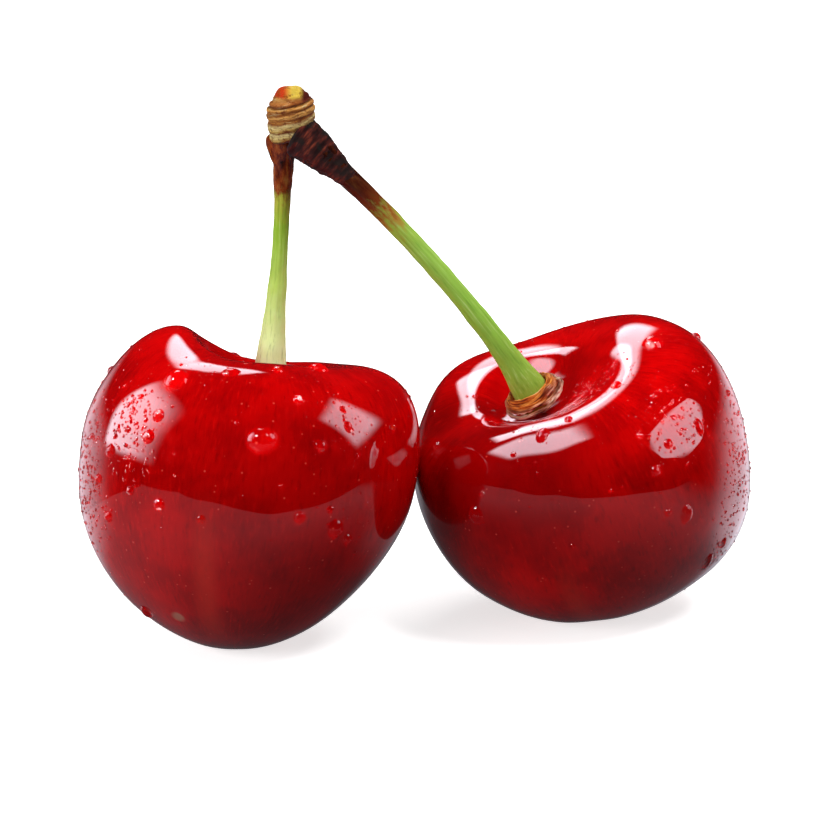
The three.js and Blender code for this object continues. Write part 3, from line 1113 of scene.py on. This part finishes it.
def ringed_wood():
    material, add = new_material("ringed_spur_wood")
    place = grown_place(add)
    parts = add("SeparateXYZ", Vector=place)
    tilt = add("Math", MULTIPLY, _0=parts.outputs["X"], _1=-0.2)
    level = add("Math", ADD, _0=parts.outputs["Z"], _1=tilt)
    waver = add("TexNoise", Vector=place, Scale=0.8, Detail=3.0)
    waver = add("MapRange", Value=waver, To_Min=-0.22, To_Max=0.22)
    level = add("Math", ADD, _0=level, _1=waver)
    share = add("MapRange", Value=level, From_Min=-0.1, From_Max=spur_top + 0.5)
    # ring colours by height, darker at the grooves: scar lines and painted shade
    rings = add("ValToRGB", {"stops": RING_WOOD_AND_GROOVE_SHADE}, Fac=share)
    thin = add("CombineXYZ", X=parts.outputs["X"], Y=parts.outputs["Y"])
    thin = add("VectorMath", SCALE, Vector=thin, Scale=0.35)
    drawn = add("Math", MULTIPLY, _0=level, _1=4.5)
    lift = add("CombineXYZ", Z=drawn)
    thin = add("VectorMath", ADD, _0=thin, _1=lift)
    growth = add("TexNoise", Vector=thin, Scale=1.6, Detail=4.0, Roughness=0.6)
    rings = paint_over(add, rings, growth, 0.54, 0.36, "#8A4A18", 0.85)
    rings = paint_over(add, rings, growth, 0.56, 0.70, "#F0E2A8", 0.6)
    grain = add("TexNoise", Vector=place, Scale=3.2, Detail=5.0, Roughness=0.7)
    specks = add("MapRange", SOFT_STEP, Value=grain, From_Min=0.49, From_Max=0.36, To_Max=0.8)
    base = add("Mix", COLOURS, Factor=specks, A=rings, B=colour("#6E2A10"))

    # the broken face: orange-red wood on one side, yellow on the other, dark bark along one edge of it
    above = add("Math", {"operation": "SUBTRACT"}, _0=parts.outputs["Z"], _1=spur_top)
    face = add("MapRange", SOFT_STEP, Value=above, From_Min=0.2, From_Max=0.5)
    side = add("MapRange", SOFT_STEP, Value=parts.outputs["X"], From_Min=-0.5, From_Max=0.3)
    torn = add("Mix", COLOURS, Factor=side, A=colour("#C4380A"), B=colour("#DCBC46"))
    torn = add("Mix", COLOURS, Factor=specks, A=torn, B=colour("#8A4A10"))
    base = add("Mix", COLOURS, Factor=face, A=base, B=torn)
    edge = add("MapRange", SOFT_STEP, Value=parts.outputs["X"], From_Min=0.75, From_Max=1.15)
    high = add("MapRange", SOFT_STEP, Value=share, From_Min=0.74, From_Max=0.84)
    rim = add("Math", MULTIPLY, _0=edge, _1=high)
    base = add("Mix", COLOURS, Factor=rim, A=base, B=colour("#5A1A12"))
    relief = add("Math", ADD, _0=grain, _1=growth)
    bump = add("Bump", Height=relief, Strength=0.7, Distance=0.12 * MM)
    shader = add("BsdfPrincipled", Base_Color=base, Roughness=0.42, Normal=bump)
    add("OutputMaterial", Surface=shader)
    return material


def dried_fibre():
    material, add = new_material("dried_flower_base")
    place = grown_place(add)
    parts = add("SeparateXYZ", Vector=place)
    flat = add("CombineXYZ", X=parts.outputs["X"], Y=parts.outputs["Y"])
    radius = add("VectorMath", LENGTH, Vector=flat).outputs["Value"]
    around = add("VectorMath", NORMALIZE, Vector=flat)
    layer = add("Math", {"operation": "SUBTRACT"}, _0=parts.outputs["Z"], _1=radius)
    lift = add("CombineXYZ", Z=layer)
    wound = add("VectorMath", ADD, _0=around, _1=lift)
    fibres = add("Mapping", Vector=wound, Scale=(1.4, 1.4, 6.0))
    strands = add("TexNoise", Vector=fibres, Scale=1.0, Detail=4.0, Roughness=0.6)
    base = add("ValToRGB", {"stops": DRY_FIBRE}, Fac=strands)
    outer = add("MapRange", SOFT_STEP, Value=radius, From_Min=2.1, From_Max=2.5, To_Max=0.65)
    pale = add("ValToRGB", {"stops": PALE_FIBRE}, Fac=strands)
    base = add("Mix", COLOURS, Factor=outer, A=base, B=pale)
    bump = add("Bump", Height=strands, Strength=0.8, Distance=0.12 * MM)
    shader = add("BsdfPrincipled", Base_Color=base, Roughness=0.5, Normal=bump)
    add("OutputMaterial", Surface=shader)
    return material


dress(bud_scale, dry_scale())
dress(spur, ringed_wood())
collar_fibre = dried_fibre()
for collar in collars.values():
    dress(collar, collar_fibre)


# %% [markdown]
# ## The studio
# The fruits stand on plain white paper under soft light. The paper glows by itself, more so further out,
# so that it stays white to the horizon. What a wet cherry shows is mostly its surroundings, so the room
# that the skin mirrors matters more than the lamps: it is dark, with a dim pale table below, a faint
# band of light behind, a large dim wall at each side towards the back, and a few softboxes close by.

# %% Lay the paper
def white_paper():
    material, add = new_material("white_paper")
    place = add("TexCoord").outputs["Object"]
    away = add("VectorMath", LENGTH, Vector=place).outputs["Value"]
    glow = add("MapRange", SOFT_STEP, Value=away, From_Min=0.03, From_Max=0.12, To_Min=0.7, To_Max=1.0)
    shader = add(
        "BsdfPrincipled",
        Base_Color=colour("#F0F0F0"),
        Roughness=0.9,
        Emission_Color=(1, 1, 1, 1),
        Emission_Strength=glow,
    )
    add("OutputMaterial", Surface=shader)
    return material


select_only(camera)
bpy.ops.mesh.primitive_plane_add(size=8, location=(0, 0, -0.02 * MM))
paper = bpy.context.object
paper.name = "paper"
paper.visible_glossy = paper.visible_diffuse = paper.visible_transmission = False
dress(paper, white_paper())


# %% Lay the table that only mirrors see
TABLE_GLOW = 0.37
PALE_VIOLET = "#F8F3FF"  # daylight on white paper
TABLE_SIZE = (250, 101)
TABLE_MIDDLE = (-72, -5.5, 0)
TABLE_FADE = (53, 25)  # millimetres towards its right end, where its glow is gone and where it is full
TABLE_SHADE = (10, 48)  # how far from the middle the shade of the fruits starts to lift, and is gone
TABLE_TURN = math.radians(32)  # its front edge runs aslant


def table_glow():
    material, add = new_material("mirrored_table")
    place = add("TexCoord").outputs["Object"]
    place = add("VectorMath", MULTIPLY, _0=place, _1=(*TABLE_SIZE, 1))
    middle = add("VectorMath", ADD, _0=place, _1=TABLE_MIDDLE)
    away = add("VectorMath", LENGTH, Vector=middle).outputs["Value"]
    right = add("SeparateXYZ", Vector=middle).outputs["X"]
    fading = add("MapRange", SOFT_STEP, Value=right, From_Min=TABLE_FADE[0], From_Max=TABLE_FADE[1])
    shaded = add(
        "MapRange", SOFT_STEP, Value=away, From_Min=TABLE_SHADE[0], From_Max=TABLE_SHADE[1],
        To_Min=0.15 * TABLE_GLOW, To_Max=TABLE_GLOW,
    )
    shaded = add("Math", MULTIPLY, _0=shaded, _1=fading)
    glow = add("Emission", Color=colour(PALE_VIOLET), Strength=shaded)
    clear = add("BsdfTransparent")
    veil = add("AddShader", _0=glow, _1=clear)
    add("OutputMaterial", Surface=veil)
    return material


select_only(camera)
bpy.ops.mesh.primitive_plane_add(size=1, location=(0, 0, 0))
table = bpy.context.object
table.name = "mirrored_table"
table.scale = (TABLE_SIZE[0] * MM, TABLE_SIZE[1] * MM, 1)
table.rotation_euler = (0, 0, TABLE_TURN)
table.location = Matrix.Rotation(TABLE_TURN, 3, "Z") @ mm(*TABLE_MIDDLE) - mm(0, 0, 0.03)
table.visible_camera = table.visible_diffuse = table.visible_shadow = table.visible_transmission = False
dress(table, table_glow())


# %% Paint the room
BAND_GLOW = 0.2
DARK = 0.012  # what the rest of the mirrored room glows with


def studio_world():
    world = bpy.data.worlds.new("studio")
    bpy.context.scene.world = world
    world.use_nodes = True
    world.node_tree.nodes.clear()
    add = partial(add_node, world.node_tree)
    way = add("TexCoord").outputs["Generated"]
    parts = add("SeparateXYZ", Vector=way)
    aslant = add("VectorMath", DOT_PRODUCT, _0=way, _1=(0.25, 0, 1)).outputs["Value"]
    band = BAND_GLOW
    for along, dark, bright in (
        (parts.outputs["Y"], -0.12, 0.40),  # it is behind the fruits,
        (parts.outputs["Y"], 0.97, 0.86),  # but not straight behind them,
        (parts.outputs["Z"], 0.14, -0.02),  # it lies under the horizon
        (aslant, -0.56, -0.34),  # and it ends lower on the right
    ):
        share = add("MapRange", SOFT_STEP, Value=along, From_Min=dark, From_Max=bright)
        band = add("Math", MULTIPLY, _0=band, _1=share)
    mirrored = add("Math", ADD, _0=band, _1=DARK)
    path = add("LightPath")
    room = add("Background", Color=colour(PALE_VIOLET), Strength=mirrored)
    above = add("MapRange", Value=parts.outputs["Z"], From_Min=-0.6, From_Max=1.0, To_Min=0.18, To_Max=0.42)
    fill = add("Background", Strength=above)
    seen = add("Background", Color=(1, 1, 1, 1), Strength=1.0)
    sharp = add(
        "Math",
        {"operation": "MAXIMUM"},
        _0=path.outputs["Is Glossy Ray"],
        _1=path.outputs["Is Transmission Ray"],
    )
    lit = add("MixShader", _0=sharp, _1=fill, _2=room)
    lit = add("MixShader", _0=path.outputs["Is Camera Ray"], _1=lit, _2=seen)
    add("OutputWorld", Surface=lit)


studio_world()


# %% [markdown]
# A softbox is a glowing cloth. Each is a plane that only mirrors can see, and its glow fades towards its
# edges. Light linking says which pieces it is mirrored in, so that a box meant for one fruit never shows
# in the other. The cloth adds its glow to a clear film, so a box never hides what is behind it. The lamps
# are the other half: they light the pieces but are not mirrored in them.

# %% Hang the softboxes and lamps
EVEN = (0.2, 0.2, 0.2, 0.2)
CRISP = (0.12, 0.12, 0.12, 0.12)


def softbox(name, mirrors, aim, way, distance, size, glow, fade=EVEN, sides=4, roll=0):
    """Hangs a box at a distance from the place it aims at, by a bearing and a height in degrees.

    Fade is the share of the size over which the glow dies away: left, right, bottom, top."""
    select_only(camera)
    if sides == 4:
        bpy.ops.mesh.primitive_plane_add(size=1, location=(0, 0, 0))
    else:
        bpy.ops.mesh.primitive_circle_add(vertices=sides, radius=0.5, fill_type="NGON", location=(0, 0, 0))
    box = bpy.context.object
    box.name = name
    box.scale = (size[0] * MM, size[1] * MM, 1)
    outward = bearing_to(*way)
    box.location = mm(*aim) + outward * distance * MM
    facing = outward.to_track_quat("Z", "Y")
    box.rotation_euler = (facing @ Quaternion((0, 0, 1), math.radians(roll))).to_euler()
    material, add = new_material(name + "_cloth")
    at = add("TexCoord").outputs["Object"]
    parts = add("SeparateXYZ", Vector=at)
    left, right, bottom, top = fade
    strength = glow
    for axis, edge, share in (("X", -0.5, left), ("X", 0.5, -right), ("Y", -0.5, bottom), ("Y", 0.5, -top)):
        side = add("MapRange", SOFT_STEP, Value=parts.outputs[axis], From_Min=edge, From_Max=edge + share)
        strength = add("Math", MULTIPLY, _0=strength, _1=side)
    cloth = add("Emission", Color=colour(PALE_VIOLET), Strength=strength)
    clear = add("BsdfTransparent")
    veil = add("AddShader", _0=cloth, _1=clear)
    add("OutputMaterial", Surface=veil)
    dress(box, material)
    box.light_linking.receiver_collection = mirrors
    box.visible_camera = box.visible_diffuse = box.visible_shadow = box.visible_transmission = False


LAMP_CENTRE = Vector((0, 0, 15))  # the bearings and heights of the lamps are taken from here
LAMP_AIM = mm(0, 0, 14)


def lamp(name, bearing, height, distance, size, power):
    data = bpy.data.lights.new(name, "AREA")
    data.shape = "DISK"
    data.size = size * MM
    data.energy = power
    light = bpy.data.objects.new(name, data)
    bpy.context.collection.objects.link(light)
    light.location = (LAMP_CENTRE + bearing_to(bearing, height) * distance) * MM
    light.rotation_euler = (light.location - LAMP_AIM).to_track_quat("Z", "Y").to_euler()
    light.visible_camera = light.visible_glossy = False


def mirror_group(name, pieces):
    """The pieces that a softbox is mirrored in. Nothing else gets its light."""
    group = bpy.data.collections.new(name)
    for piece in pieces:
        group.objects.link(piece)
    return group


left_wet = mirror_group("left_wet", (fruits["cherry_left"], drops["cherry_left"], beads["cherry_left"]))
right_wet = mirror_group("right_wet", (fruits["cherry_right"], drops["cherry_right"], beads["cherry_right"]))
# where on the skin the softboxes aim, in millimetres
LEFT_SHOULDER, LEFT_RIM, LEFT_FLANK = (-20.7, -10.9, 20.8), (-16.5, -6.8, 24), (-5.2, -10.4, 20)
HOLLOW_LEFT, HOLLOW_RIGHT = (4.6, 2.3, 18.8), (16, -1.6, 22)
RIGHT_RIM, RIGHT_SHOULDER = (9.4, -8.6, 17.3), (19.9, -8.5, 17.5)
PAIR_MIDDLE = (0, 0, 20)
softbox("softbox_left", left_wet, LEFT_SHOULDER, (-87, 30), 78, (90, 94), 10, (0.12, 0.55, 0.12, 0.35))
softbox("softbox_back", left_wet, LEFT_RIM, (187, 46), 80, (30, 34), 8, roll=-48)
softbox("card_right", left_wet, LEFT_FLANK, (94, 29), 34, (27, 28), 5.5, roll=9)
softbox("strip_behind", right_wet, HOLLOW_LEFT, (-148, 55), 80, (42, 34), 11, roll=135)
softbox("strip_back", right_wet, HOLLOW_RIGHT, (-165, 45), 80, (34, 68), 8, roll=-45)
softbox("card_middle", right_wet, RIGHT_RIM, (-80, 60), 60, (50, 54), 10)
softbox("octabox_right", right_wet, RIGHT_SHOULDER, (70, 26), 60, (66, 66), 6, CRISP, sides=8)
water_only = mirror_group("water_only", (*drops.values(), *beads.values()))
softbox("glint_left", water_only, PAIR_MIDDLE, (-55, 48), 160, (42, 42), 100)
softbox("glint_right", water_only, PAIR_MIDDLE, (48, 52), 160, (24, 24), 100)
softbox("wall_left", left_wet, (-25, 0, 14), (-130, -10), 150, (200, 140), 1.6, (0.3, 0.5, 0.45, 0.3))
softbox("wall_right", right_wet, (26, 0, 12), (132, -14), 150, (220, 160), 1.5, (0.5, 0.3, 0.35, 0.3))
lamp("left_lamp", -60, 20, 380, 200, 1.0)
lamp("right_lamp", 62, 60, 380, 180, 1.15)
lamp("back_lamp", 160, 45, 380, 200, 0.5)
print("lamps:", [light.name for light in bpy.data.lights])

scene = bpy.context.scene
scene.view_settings.view_transform = "Standard"
scene.view_settings.look = "None"


# %% [markdown]
# ## Hand the pieces over
# Every CAD node is replaced by its finished piece. The drops are new pieces that sit on the skin.

# %% Finish
finished = {
    "cherry_left": (fruits["cherry_left"], "skin"),
    "cherry_right": (fruits["cherry_right"], "skin"),
    "stalk_left": (stalks["stalk_left"], "stalk"),
    "stalk_right": (stalks["stalk_right"], "stalk"),
    "collar_left": (collars["collar_left"], "dried_collar"),
    "collar_right": (collars["collar_right"], "dried_collar"),
    "bud_scale": (bud_scale, "bud_scale"),
    "spur": (spur, "spur_wood"),
}
for node, (piece, slot) in finished.items():
    low, high = corners(piece)
    cad_low, cad_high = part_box(node)
    away = [round((a - b) / MM, 2) for a, b in zip((*low, *high), (*cad_low, *cad_high))]
    print(node, "stands off its CAD box by", away, "mm")
    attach(piece, "root")
    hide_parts(node)
    piece.visible_glossy = slot == "skin"
for wet in (*drops.values(), *beads.values()):
    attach(wet, "root")
for line in lines.values():
    bpy.data.objects.remove(line)
